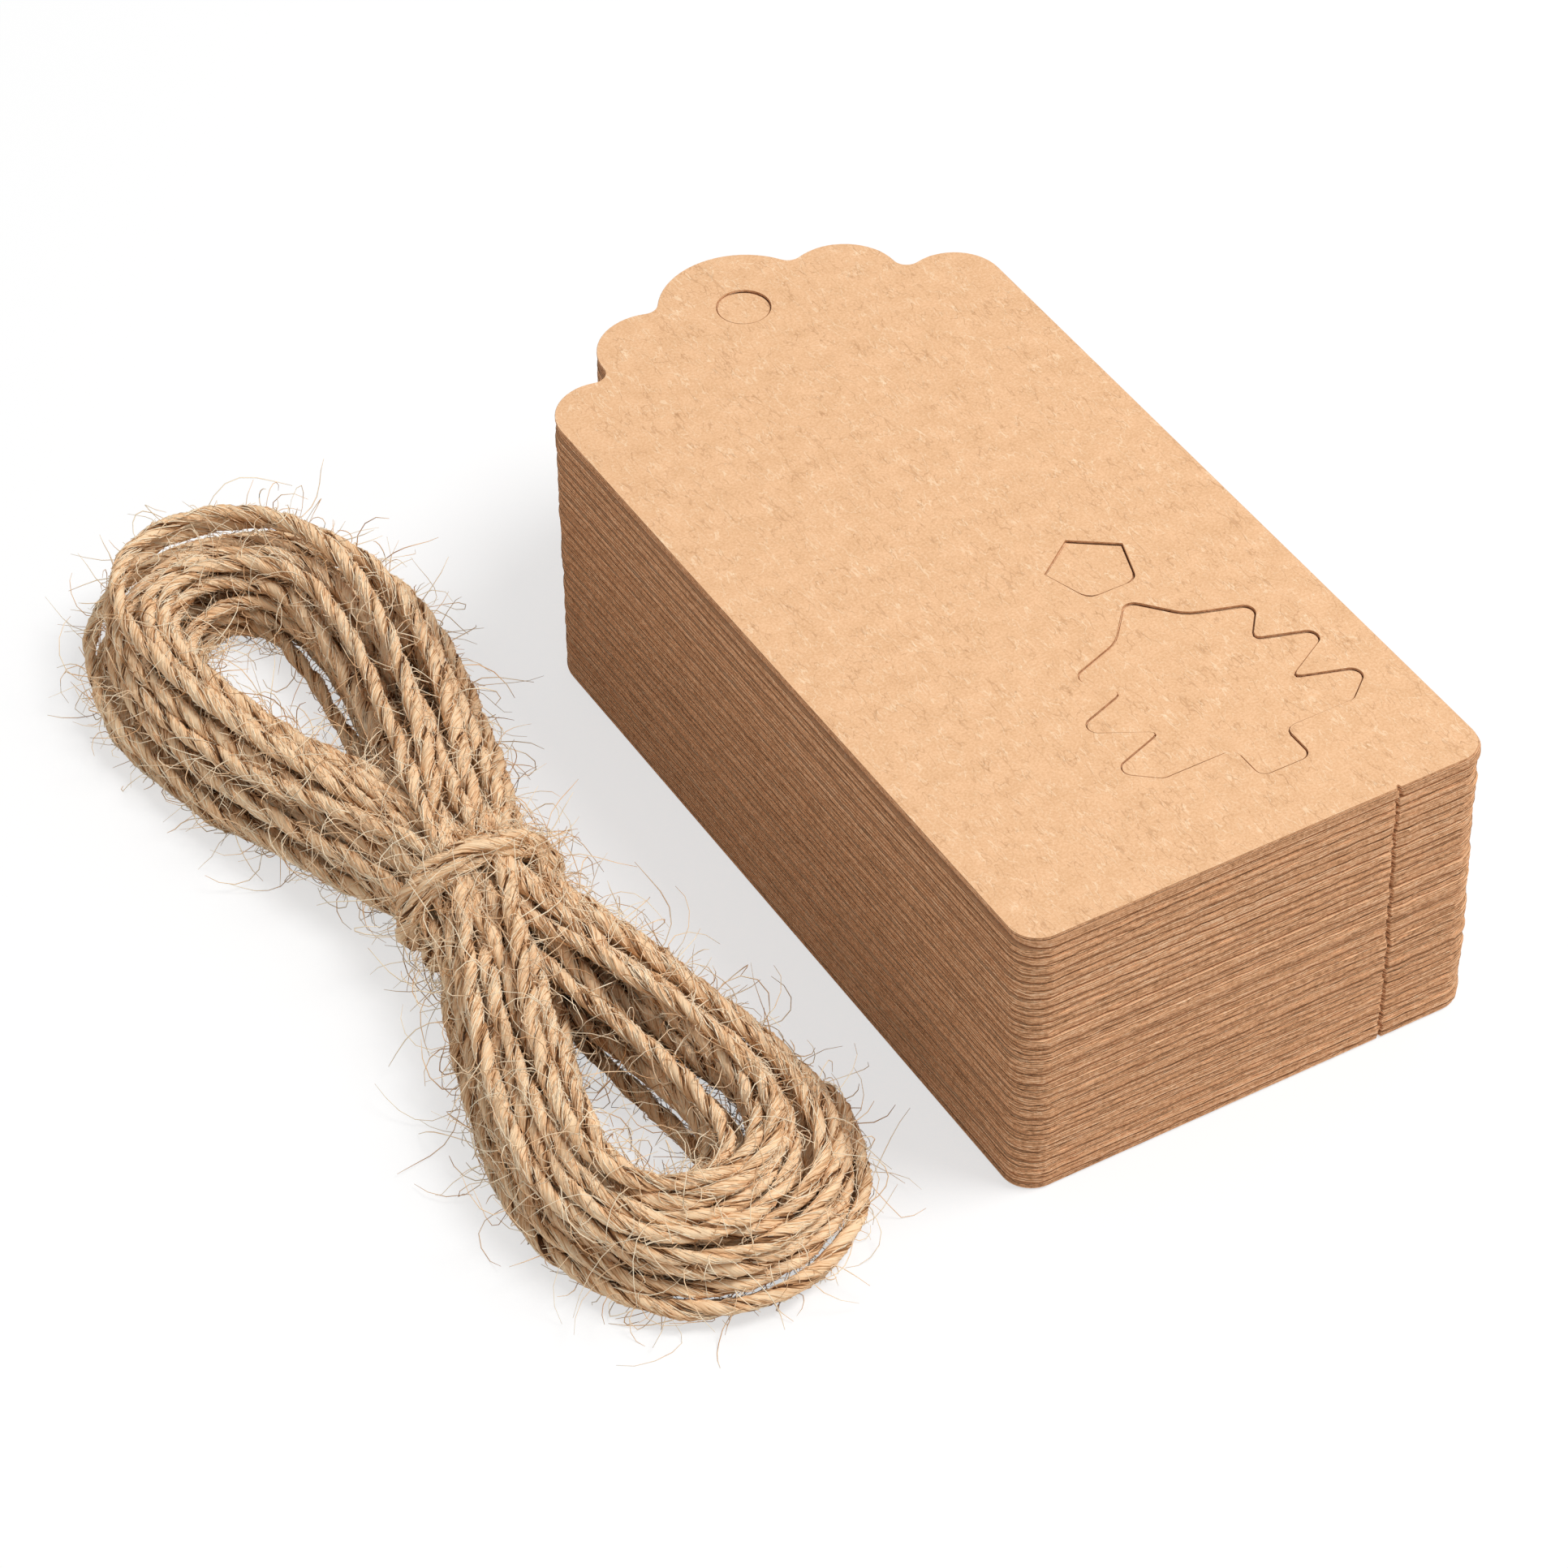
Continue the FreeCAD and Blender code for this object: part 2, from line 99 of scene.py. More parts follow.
class Wire:  # a socket that can stand in a sum
    def __init__(self, nodes, socket):
        self.nodes = nodes
        self.socket = socket

    def outlet(self, name):  # another output of the same node
        return Wire(self.nodes, self.socket.node.outputs[name])

    def maths(self, operation, *others):
        return self.nodes.add("ShaderNodeMath", {"operation": operation}, self, *others)

    def __add__(self, other):
        return self.maths("ADD", other)

    def __sub__(self, other):
        return self.maths("SUBTRACT", other)

    def __rsub__(self, other):
        return self.nodes.add("ShaderNodeMath", {"operation": "SUBTRACT"}, other, self)

    def __mul__(self, other):
        return self.maths("MULTIPLY", other)

    __radd__ = __add__
    __rmul__ = __mul__


class Nodes:  # one node tree and the way in which its nodes are added
    def __init__(self, tree):
        self.tree = tree

    def feed(self, socket, value):
        if isinstance(value, Wire):
            self.tree.links.new(value.socket, socket)
        elif value is not None:
            socket.default_value = (*value, 1) if socket.type == "RGBA" else value

    def add(self, kind, settings, *values, out=0, **named):
        node = self.tree.nodes.new(kind)
        for key, value in settings.items():
            if key == "stops":
                ramp = node.color_ramp
                while len(ramp.elements) < len(value):
                    ramp.elements.new(0.5)
                for element, (place, colour) in zip(ramp.elements, value):
                    element.position = place
                    element.color = (*colour, 1)
            else:
                setattr(node, key, value)
        for socket, value in zip(node.inputs, values):
            self.feed(socket, value)
        for key, value in named.items():
            self.feed(node.inputs[key], value)
        return Wire(self, node.outputs[out])


class Finish(Nodes):  # one material, and the patterns that several of them use
    def __init__(self, name, roughness):
        self.material = bpy.data.materials.new(name)
        self.material.use_nodes = True
        super().__init__(self.material.node_tree)
        self.surface = self.tree.nodes["Principled BSDF"]
        self.surface.inputs["Roughness"].default_value = roughness
        self.surface.inputs["Specular IOR Level"].default_value = 0.25

    def objectPlace(self):
        return self.add("ShaderNodeTexCoord", {}, out=3)

    def attribute(self, name, out=2):  # 1 is the vector, 2 the value
        return self.add("ShaderNodeAttribute", {"attribute_name": name}, out=out)

    def stretched(self, vector, scale, turn=0.0):
        rotation = (0, 0, math.radians(turn))
        return self.add("ShaderNodeMapping", {}, Vector=vector, Rotation=rotation, Scale=scale)

    def cloud(self, vector, scale, detail=3.0, rough=0.55):
        return self.add("ShaderNodeTexNoise", {}, Vector=vector, Scale=scale, Detail=detail, Roughness=rough)

    def between(self, wire, low, high):
        return self.add("ShaderNodeMapRange", {"clamp": True}, wire, low, high)

    def ramp(self, stops, tone):
        return self.add("ShaderNodeValToRGB", {"stops": stops}, tone)

    def blend(self, amount, first, second):  # its colours are sockets 6 and 7
        return self.add("ShaderNodeMix", {"data_type": "RGBA"}, amount, *[None] * 5, first, second, out=2)

    def bump(self, height, strength, distance):
        normal = self.add("ShaderNodeBump", {}, Strength=strength, Distance=distance, Height=height)
        self.feed(self.surface.inputs["Normal"], normal)

    def paint(self, colour):
        self.feed(self.surface.inputs["Base Color"], colour)


# The hank: a route of control points, settled so that its turns lie beside each other. All in mm.
hank = {
    "twine": 1.9, "length": 6.1,  # the length in m
    "axis": (-52.2, -51.4, -48.8),  # far lobe, waist, near lobe
    "waist": 4.2, "waistHeight": 7.0, "waistHalf": (5.9, 4.0),
    "waistFill": 0.86, "waistSpread": (0.16, 0.8),  # shares of the waist's half height and half width
    "near": {"eye": 5.7, "tip": 44.0, "way": -1, "opens": 6.0, "eyeShift": -5.8, "band": 9.1},
    "far": {"eye": 6.0, "tip": 53.2, "way": 1, "opens": 10.0, "eyeShift": -1.4, "band": 10.1},
    "bandLength": 11.3, "lowest": 0.95, "levels": 7.8,
    "rows": (7, 7, 6, 5),  # loops in each layer, from the floor up
    "round": 1.02, "blunt": 1.05,  # a lobe's end against a half circle, across and along
    "swell": 1.25, "settleBy": 0.6, "dip": 1.5,  # how a loop widens, and where and how it comes down
    "stations": [0.12, 0.26, 0.42, 0.6, 0.8, 1],  # shares of a lobe's side that have a control point
    "uneven": {"wide": (0.1, 0.6), "long": 0.9, "height": 0.4, "lean": 0.5},
    "longLoop": {"fromLast": 4, "long": 0.8, "rise": 1.4}, "looseLoop": {"number": 4, "wide": 1.6},
    "end": {"aside": (1.2, 1.0), "high": 0.8, "back": 3.5, "rise": 1.5},  # it goes back under the tie
    "seed": 11,
}


def loopPlaces():
    places = []  # each loop's place across the band and its level, wound to and fro from the floor up
    for row, count in enumerate(hank["rows"]):
        across = [(n + 0.5 * (row % 2)) / (max(hank["rows"]) - 0.5) for n in range(count)]
        level = row / (len(hank["rows"]) - 1)
        places += [(a, level) for a in (across if row % 2 == 0 else across[::-1])]
    return places


def hankPoints():
    chance = random.Random(hank["seed"])
    uneven, longLoop, looseLoop = hank["uneven"], hank["longLoop"], hank["looseLoop"]
    waist, (waistWide, waistHigh) = hank["waist"], hank["waistHalf"]
    inner, spread = hank["waistSpread"]
    middleX, outward = hank["axis"][1], hank["stations"]
    stations = [(t, 0) for t in outward] + [(1, a) for a in (45, 90, 135)] + [(t, 180) for t in outward[::-1]]
    points = []
    places = loopPlaces()
    for number, (across, level) in enumerate(places):
        waistLevel = (2 * level - 1) * hank["waistFill"]
        waistReach = (inner + spread * across) * waistWide * math.sqrt(1 - waistLevel ** 2)
        waistZ = hank["waistHeight"] + waistLevel * waistHigh
        for lobe, axis, side in (("near", hank["axis"][2], 1), ("far", hank["axis"][0], -1)):
            facts = hank[lobe]
            wide = facts["eye"] + across * facts["band"] + max(0, chance.gauss(*uneven["wide"]))
            long = facts["tip"] + across * hank["bandLength"] + chance.gauss(0, uneven["long"])
            z = hank["lowest"] + level * hank["levels"] + chance.gauss(0, uneven["height"])
            lean = chance.gauss(0, uneven["lean"])
            if lobe == "far" and number == len(places) - longLoop["fromLast"]:
                long, z = long + longLoop["long"], z + longLoop["rise"]
            loose = looseLoop["wide"] if lobe == "near" and number == looseLoop["number"] else 0
            belly = long - hank["round"] * wide
            points.append((middleX + side * waistReach, waist, waistZ))
            opens = facts["opens"] * (1 - across)
            for share, angle in stations:
                turned = math.radians(angle)
                opened = max(0, (belly * share - opens) / (belly - opens))
                shape = math.sin(math.pi / 2 * opened) ** hank["swell"]
                reach = waistReach + (wide * hank["round"] - waistReach) * shape
                middle = middleX + (axis + facts["eyeShift"] * (1 - across) - middleX) * share
                x = middle + side * reach * math.cos(turned) + lean * math.sin(turned)
                x += loose * max(0, math.cos(turned)) * share ** 3
                y = belly * share + hank["blunt"] * (long - belly) * math.sin(turned)
                height = waistZ + (z - waistZ) * min(1, share / hank["settleBy"]) ** hank["dip"]
                points.append((x, waist + facts["way"] * y, height))
    end = hank["end"]
    lastZ = hank["waistHeight"] + waistHigh * end["high"] * (2 * places[-1][1] - 1)
    points.append((middleX + end["aside"][0], waist, lastZ))
    points.append((middleX + end["aside"][1], waist - end["back"], hank["waistHeight"] + end["rise"]))
    return np.array(points)


settling = {
    "gap": 1.66, "rounds": 150, "steps": 8, "renewEvery": 10,  # how often the near turns are looked up again
    "push": 0.3, "beside": 1.3, "sag": 0.004, "waistReach": 3.5,
    "follow": 1.6, "smooth": 0.4, "keep": 0.998,
}


def settle(start):
    gap, steps = settling["gap"], settling["steps"]
    t = (np.arange(steps) / steps)[None, :, None]
    weights = (0.5 * (1 - t) ** 2, 0.5 + t * (1 - t), 0.5 * t ** 2)  # the spline's own shares of three points
    points = start.copy()
    wide, high = hank["waistHalf"]
    middle = np.array([hank["axis"][1], hank["waist"], hank["waistHeight"]])
    for number in range(settling["rounds"]):
        line = sum(w * points[n:len(points) - 2 + n, None] for n, w in enumerate(weights)).reshape(-1, 3)
        heading = np.gradient(line, axis=0)
        heading /= np.linalg.norm(heading, axis=1)[:, None]
        if number % settling["renewEvery"] == 0:
            near = line.astype(np.float32)
            squares = (near ** 2).sum(1)
            apart = squares[:, None] + squares[None] - 2 * near @ near.T
            first, second = np.nonzero(np.triu(apart < (2 * gap) ** 2, 3 * steps // 2))
        between = line[first] - line[second]
        along = (between * heading[second]).sum(1)
        between = between - along[:, None] * heading[second]
        far = np.linalg.norm(between, axis=1) + 1e-6
        meet = (far < gap) & (abs(along) < settling["beside"])
        push = between[meet] / far[meet, None] * ((gap - far[meet]) * settling["push"])[:, None]
        shift = np.zeros_like(line)
        np.add.at(shift, first[meet], push)
        np.add.at(shift, second[meet], -push)
        shift[:, 2] -= settling["sag"]
        inWaist = abs(line[:, 1] - middle[1]) < settling["waistReach"]
        offset = (line[:, [0, 2]] - middle[[0, 2]]) / (wide, high)
        over = np.linalg.norm(offset, axis=1)
        squeeze = inWaist & (over > 1)
        shift[squeeze, 0] -= (offset[squeeze, 0] * wide) * (1 - 1 / over[squeeze])
        shift[squeeze, 2] -= (offset[squeeze, 1] * high) * (1 - 1 / over[squeeze])
        shift[:, 2] += np.maximum(0, hank["lowest"] - line[:, 2] - shift[:, 2])
        shares = shift.reshape(-1, steps, 3)
        moved = points - start
        for n, w in enumerate(weights):
            moved[n:len(points) - 2 + n] += (w * shares).sum(1) * (settling["follow"] / steps)
        moved[1:-1] += settling["smooth"] * ((moved[:-2] + moved[2:]) / 2 - moved[1:-1])
        points = start + moved * settling["keep"]
        points[:, 2] = np.maximum(points[:, 2], hank["lowest"])
    return points


# The tie: two turns side by side round the waist, and a third that crosses over them on top.
tie = {
    "turns": 2.8, "perTurn": 14, "start": 235.0, "length": 0.14,  # the length in m
    "half": (7.75, 5.85), "pitch": 1.95, "tuck": 4.2,
    "crossing": 1.55, "crossFrom": 1.8, "crossWithin": 0.3, "crossBack": 2.6, "crossLength": 0.75,
    "lastPitch": 1.9, "wider": 0.06, "uneven": 0.06, "seed": 3,
}


def tuckEnd(end, before, way):  # each end turns down into the bundle
    heading = np.subtract(end, before)
    heading /= np.linalg.norm(heading)
    inward = np.subtract((hank["axis"][1], end[1], hank["waistHeight"]), end)
    inward -= heading * (inward @ heading)
    inward /= np.linalg.norm(inward)
    bends = [math.radians(angle) for angle in range(20, 100, 20)]
    radius = tie["tuck"]
    return [end + radius * (math.sin(a) * heading + (1 - math.cos(a)) * inward) + (0, way * a, 0)
            for a in bends]


def tiePoints():
    chance = random.Random(tie["seed"])
    wide, high = tie["half"]
    points = []
    for n in range(round(tie["turns"] * tie["perTurn"]) + 1):
        turn = n / tie["perTurn"]
        angle = math.radians(tie["start"] + 360 * turn)
        past = turn - tie["crossFrom"]
        over = max(0, min(1, past / tie["crossWithin"]))  # the last turn lies on the two before
        along = tie["pitch"] * (min(turn, tie["lastPitch"]) - tie["lastPitch"] / 2)
        along -= over * tie["crossBack"] * min(1, past / tie["crossLength"])
        rise = 1 + over * tie["crossing"] / high * max(0, math.sin(angle))
        x = hank["axis"][1] + wide * math.cos(angle) * (1 + tie["wider"] * over)
        z = hank["waistHeight"] + high * math.sin(angle) * rise
        points.append((x + chance.gauss(0, tie["uneven"]), hank["waist"] + along, max(z, hank["lowest"])))
    first = tuckEnd(np.array(points[0]), points[1], -1)[::-1]
    return np.array(first + points + tuckEnd(np.array(points[-1]), points[-2], 1))


def splineLine(name, points, resolution=14):
    curve = bpy.data.curves.new(name, "CURVE")
    curve.dimensions = "3D"
    curve.resolution_u = resolution
    spline = curve.splines.new("NURBS")
    spline.points.add(len(points) - 1)
    for target, point in zip(spline.points, points):
        target.co = (*(point * mm), 1)
    spline.order_u = 3
    spline.use_endpoint_u = True
    route = bpy.data.objects.new(name, curve)
    bpy.context.scene.collection.objects.link(route)
    bpy.context.view_layer.update()
    mesh = bpy.data.meshes.new_from_object(route)
    line = np.array([v.co for v in mesh.vertices])
    bpy.data.objects.remove(route)
    return line


def frames(line):
    heading = np.gradient(line, axis=0)
    heading /= np.linalg.norm(heading, axis=1)[:, None]
    side = np.zeros_like(line)
    carried = np.cross(heading[0], (0, 0, 1.0))
    for n, way in enumerate(heading):  # carried along without turning about the line
        carried = carried - way * (carried @ way)
        carried /= np.linalg.norm(carried)
        side[n] = carried
    return heading, side, np.cross(heading, side)


def smoothChance(count, every, chance):
    knots = chance.normal(size=count // every + 3)
    return np.interp(np.arange(count) / every, np.arange(len(knots)), knots)


def meshPiece(name, points, faces, lay, inward):
    mesh = bpy.data.meshes.new(name)
    mesh.from_pydata(points.reshape(-1, 3).tolist(), [], faces)
    addAttribute(mesh, "lay", "FLOAT_VECTOR", "vector", lay)
    addAttribute(mesh, "inward", "FLOAT", "value", inward)
    mesh.update()
    piece = bpy.data.objects.new(name, mesh)
    bpy.context.scene.collection.objects.link(piece)
    smoothBelow(piece, 180)
    return piece


def tubeFaces(rings, sides, first=0):
    ring = np.arange(rings - 1)[:, None] * sides + first
    turn = np.arange(sides)[None]
    after = (turn + 1) % sides
    around = np.stack([ring + turn, ring + after, ring + sides + after, ring + sides + turn], axis=-1)
    last = first + (rings - 1) * sides
    ends = [list(range(first, first + sides))[::-1], list(range(last, last + sides))]
    return around.reshape(-1, 4).tolist() + ends


# The two plies, twisted about the route. Each pair is how many rings a change takes, and how much it is.
plies = {
    "radius": 0.57, "offset": 0.30, "pitch": 10.0, "sides": 8,  # mm
    "twist": (40, 0.03), "twistSeed": 5,
    "thickness": ((13, 0.13), (5, 0.06)), "thinnest": 0.74, "thickest": 1.24,
    "sway": (7, 0.085), "ripple": 0.065,
    "flat": (0.9, 1.12),  # how wide a ply is towards the other one, and across
    "layTurn": 0.4,  # radians to a millimetre, by which the pattern winds round a ply
    "above": 0.01,
}


def spinPly(name, line, number, seed):
    chance = np.random.default_rng(seed)
    count, sides = len(line), plies["sides"]
    heading, side, up = frames(line)
    travel = np.concatenate([[0], np.cumsum(np.linalg.norm(np.diff(line, axis=0), axis=1))]) / mm
    every, much = plies["twist"]
    wander = np.cumsum(smoothChance(count, every, np.random.default_rng(plies["twistSeed"]))) * much
    turn = 2 * math.pi * travel / plies["pitch"] + wander + math.pi * number  # both plies twist alike
    thick = 1
    for every, much in plies["thickness"]:
        thick = thick + much * smoothChance(count, every, chance)
    thick = np.clip(thick, plies["thinnest"], plies["thickest"]) * plies["radius"] * mm
    out = np.cos(turn)[:, None] * side + np.sin(turn)[:, None] * up
    across = np.cross(heading, out)
    every, much = plies["sway"]
    sway = side * smoothChance(count, every, chance)[:, None]
    sway = sway + up * smoothChance(count, every, chance)[:, None]
    centre = line + out * plies["offset"] * mm + sway * much * mm
    angle = 2 * math.pi * np.arange(sides) / sides
    wide = thick[:, None] * (1 + plies["ripple"] * chance.normal(size=(count, sides)))
    inFlat, acrossFlat = plies["flat"]
    rings = (centre[:, None] + out[:, None] * (wide * np.cos(angle) * inFlat)[..., None]
             + across[:, None] * (wide * np.sin(angle) * acrossFlat)[..., None])
    rings[..., 2] = np.maximum(rings[..., 2], plies["above"] * mm)
    turned = angle[None] - plies["layTurn"] * travel[:, None]
    lay = np.stack([np.cos(turned), np.sin(turned), np.broadcast_to(travel[:, None], turned.shape)], axis=-1)
    # which side of a ply faces the other one; the ply finish paints shade there
    inward = np.broadcast_to(-np.cos(angle), (count, sides))
    piece = meshPiece(name, rings, tubeFaces(count, sides), lay, inward)
    return piece, {
        "centre": centre, "out": out, "across": across, "heading": heading, "thick": thick, "travel": travel,
    }


# Fibres: some lie along a ply's surface, some stand off it. Each is a thin three-sided thread. Sizes in mm.
fibres = {
    "lying": 6800, "lyingRings": 5, "lyingLength": (2.5, 8.0), "lyingThick": (0.045, 0.09), "lyingPieces": 2,
    "drift": 0.9, "wobble": 0.12, "over": (1.02, 0.05), "hug": (0.92, 1.1),
    "headLift": 0.2, "tailLift": 0.35,  # how far the two ends come off, in radii of the ply
    "standing": 4600, "standingRings": 7, "standingLength": (1.4, 10.5), "standingThick": (0.04, 0.068),
    "fromEnds": 20, "root": 0.9,  # rings left bare at each end, and where a root lies, in radii of the ply
    "along": (0.5, 1.2), "outward": (0.3, 1), "lift": 0.8, "stray": 0.25,  # the way in which one sets out
    "shortMore": 1.9, "curl": (0.5, 4.2), "wave": 0.16, "droop": 0.1, "above": 0.03,
    "taper": (0.12, 0.93), "least": 12,
}


def threads(name, lines, thick, chance):
    count, rings = lines.shape[:2]
    heading = np.gradient(lines, axis=1)
    heading /= np.linalg.norm(heading, axis=2, keepdims=True) + 1e-12
    side = np.cross(heading, (0.31, 0.17, 1.0))  # any way that no thread is likely to take
    side /= np.linalg.norm(side, axis=2, keepdims=True) + 1e-12
    up = np.cross(heading, side)
    taper = np.sin(math.pi * np.linspace(*fibres["taper"], rings)) ** 0.5
    angle = 2 * math.pi * np.arange(3) / 3
    wide = (thick[:, None] * taper)[:, :, None, None]
    around = side[:, :, None] * np.cos(angle)[:, None] + up[:, :, None] * np.sin(angle)[:, None]
    points = lines[:, :, None] + wide * around
    points[..., 2] = np.maximum(points[..., 2], plies["above"] * mm)
    faces = [face for n in range(count) for face in tubeFaces(rings, 3, n * rings * 3)]
    place = np.broadcast_to(chance.uniform(0, 900, size=(count, 1, 1, 3)), points.shape).copy()
    place[..., 2] += np.linspace(0, 4, rings)[None, :, None]
    return meshPiece(name, points, faces, place, np.full(points.shape[:3], -1.0))


def lyingFibres(name, ply, seed, count):
    chance = np.random.default_rng(seed)
    rings = fibres["lyingRings"]
    step = ply["travel"][-1] / (len(ply["travel"]) - 1)
    length = chance.uniform(*fibres["lyingLength"], size=count)
    start = chance.uniform(0, ply["travel"][-1] - length, size=count)
    t = np.linspace(0, 1, rings)
    places = start[:, None] + length[:, None] * t
    ring = np.clip(np.round(places / step).astype(int), 0, len(ply["centre"]) - 1)
    angle = chance.uniform(0, 2 * math.pi, size=(count, 1))
    angle = angle + chance.normal(0, fibres["drift"], size=(count, 1)) * t
    angle = angle + chance.normal(0, fibres["wobble"], size=(count, rings))
    least, more = fibres["over"]
    lift = least + more * chance.uniform(size=(count, rings))
    lift[:, -1] += abs(chance.normal(0, fibres["tailLift"], size=count))
    lift[:, 0] += abs(chance.normal(0, fibres["headLift"], size=count))
    reach = (ply["thick"][ring] * lift)[..., None]
    inHug, acrossHug = fibres["hug"]
    lines = ply["centre"][ring] + reach * (ply["out"][ring] * inHug * np.cos(angle)[..., None]
                                           + ply["across"][ring] * acrossHug * np.sin(angle)[..., None])
    return threads(name, lines, chance.uniform(*fibres["lyingThick"], size=count) * mm, chance)


def standingFibres(name, ply, seed, count):
    chance = np.random.default_rng(seed)
    ring = chance.integers(fibres["fromEnds"], len(ply["centre"]) - fibres["fromEnds"], size=count)
    angle = chance.uniform(0, 2 * math.pi, size=count)
    outward = ply["out"][ring] * np.cos(angle)[:, None] + ply["across"][ring] * np.sin(angle)[:, None]
    root = ply["centre"][ring] + outward * ply["thick"][ring][:, None] * fibres["root"]
    way = ply["heading"][ring] * chance.choice([-1, 1], size=(count, 1))
    heading = way * chance.uniform(*fibres["along"], size=(count, 1))
    heading = heading + outward * fibres["lift"] * chance.uniform(*fibres["outward"], size=(count, 1))
    heading += chance.normal(0, fibres["stray"], size=(count, 3))
    heading /= np.linalg.norm(heading, axis=1, keepdims=True)
    curl = np.cross(heading, chance.normal(size=(count, 3)))
    curl /= np.linalg.norm(curl, axis=1, keepdims=True)
    twist = np.cross(heading, curl)
    short, long = fibres["standingLength"]
    length = (short + (long - short) * chance.uniform(size=count) ** fibres["shortMore"])[:, None, None] * mm
    t = np.linspace(0, 1, fibres["standingRings"])[None, :, None]
    bend = chance.uniform(*fibres["curl"], size=(count, 1, 1))
    lines = root[:, None] + length * (heading[:, None] * np.sin(bend * t) / bend
                                      + curl[:, None] * (1 - np.cos(bend * t)) / bend
                                      + twist[:, None] * fibres["wave"] * np.sin(4 * t))
    lines[..., 2] -= fibres["droop"] * mm * (t[..., 0] * length[..., 0] / mm / 4) ** 2
    lines[..., 2] = np.maximum(lines[..., 2], fibres["above"] * mm)
    return threads(name, lines, chance.uniform(*fibres["standingThick"], size=count) * mm, chance)


jute = {
    # The ply's two darkest stops are reached mostly where the painted valley shade lowers the tone.
    "ply": [(0.0, (0.08, 0.03, 0.009)), (0.14, (0.38, 0.18, 0.07)),
            (0.33, (0.86, 0.525, 0.28)), (0.58, (1.0, 0.74, 0.475))],
    "hair": [(0.18, (0.48, 0.235, 0.09)), (0.36, (0.93, 0.61, 0.35)), (0.56, (1.0, 0.845, 0.62))],
    "roughness": 0.72,
    "valleyShade": 0.36,  # painted shade: how much darker a ply is painted where it lies against the other
    "fine": (3.0, 3.0, 0.22), "tuft": (1.2, 1.2, 0.10),  # how often the pattern changes round and along a ply
    "patch": 170.0, "shares": (0.50, 0.34, 0.16),  # of the fine pattern, the tufts and the patches
    "bump": (0.9, 0.16),  # strength, and mm
}


def juteFinish(name, stops):
    finish = Finish(name, jute["roughness"])
    lay = finish.attribute("lay", out=1)
    fine = finish.cloud(finish.stretched(lay, jute["fine"]), 1.0, 3.0, 0.6)
    tuft = finish.cloud(finish.stretched(lay, jute["tuft"]), 1.0, 3.0)
    patch = finish.cloud(finish.objectPlace(), jute["patch"], 2.0)
    fineShare, tuftShare, patchShare = jute["shares"]
    tone = finish.between(fine, 0.35, 0.65) * fineShare + finish.between(tuft, 0.3, 0.7) * tuftShare
    tone = tone + finish.between(patch, 0.3, 0.7) * patchShare
    # Painted shade: the ply is painted darker on its inward side, where it lies against the other ply, in
    # place of the shade that falls between them.
    tone = tone - finish.between(finish.attribute("inward"), -0.45, 0.3) * jute["valleyShade"]
    finish.paint(finish.ramp(stops, tone))
    strength, deep = jute["bump"]
    finish.bump(fine + tuft * 0.6, strength, deep * mm)
    return finish.material


def layTwine():
    hankLine = splineLine("hankRoute", settle(hankPoints()))
    tieLine = splineLine("tieRoute", tiePoints())
    plyFinish, hairFinish = juteFinish("jutePly", jute["ply"]), juteFinish("juteHair", jute["hair"])
    for name, facts, line, node, seed in (("hank", hank, hankLine, "twine_hank", 1),
                                          ("tie", tie, tieLine, "twine_tie", 11)):
        length = float(np.linalg.norm(np.diff(line, axis=0), axis=1).sum())
        print(f"{name}: {length:.3f} m, {len(line)} rings")
        share = length / hank["length"]
        standing, lying = (int(fibres[kind] * share) + fibres["least"] for kind in ("standing", "lying"))
        pieces = []
        for number, letter in enumerate("AB"):
            piece, ply = spinPly(f"{name}Ply{letter}", line, number, seed + number)
            pieces += [piece, standingFibres(f"{name}Hairs{letter}", ply, seed + 7 + number, standing)]
            for part in range(fibres["lyingPieces"]):
                lyingSeed = seed + 20 + 2 * number + part
                pieces.append(lyingFibres(f"{name}Fibres{letter}{part + 1}", ply, lyingSeed, lying))
        for piece in pieces:
            piece.data.materials.append(plyFinish if "Ply" in piece.name else hairFinish)
            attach(piece, "twine")
        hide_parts(node)


# The cards: a blank and a cut tag shaped from the frame's top tag, then copied. All in mm.
cards = {
    "count": 100, "pitch": 0.32, "air": 0.02, "thick": 0.252, "rim": 0.03,
    "perBlock": 5, "cutBelow": 4,  # cards that one node stands for, and how many below the top one are cut
    "squareEnd": -50.4, "nick": (14.5, 15.0, 0.35),  # from and to across the square end, and how deep
    "spread": 0.035, "groupSpread": 0.07,  # how far a card and a group of them lie out of line
    "turn": 0.05,  # degrees by which a card lies askew
    "groups": (2, 2, 3, 3, 4), "pressed": 0.002,  # cards that lie pressed together, and the air between them
    "waves": ((0.22, 0.012, 0.03), (0.9, 0.008, 0.02), (2.6, 0.005, 0.014)),  # turns to a mm, rise, reach
    "notch": 1.15, "holeNotch": 0.9,  # rounding of the tree's inner corners, and of those of its hole
    "treeEnd": -13.0,  # the tree lies beyond this
    "longSides": ((60, 200, 56), (30, 60, 30)),  # edges from one length to another, and how often they're cut
    "sink": 0.26, "shift": 0.042, "lean": 0.7,  # how a pop-out lies in its hole
    "flatAbove": 0.93, "uprightBelow": 0.4,  # how level a face is that is paper, and one that is cut edge
    "seed": 21,
}
popOuts = {"hole_disc": "top_hole_disc", "star": "top_star", "tree": "top_tree"}


def openEdit(piece, kind=None, action="SELECT"):
    pick(piece)
    bpy.ops.object.mode_set(mode="EDIT")
    if kind:
        bpy.ops.mesh.select_mode(type=kind)
    bpy.ops.mesh.select_all(action=action)


def leaveEdit():
    bpy.ops.object.mode_set(mode="OBJECT")


def choose(piece, kind, test):
    openEdit(piece, kind, "DESELECT")
    leaveEdit()
    parts = {"FACE": piece.data.polygons, "EDGE": piece.data.edges, "VERT": piece.data.vertices}[kind]
    for part in parts:
        part.select = bool(test(part))
    bpy.ops.object.mode_set(mode="EDIT")


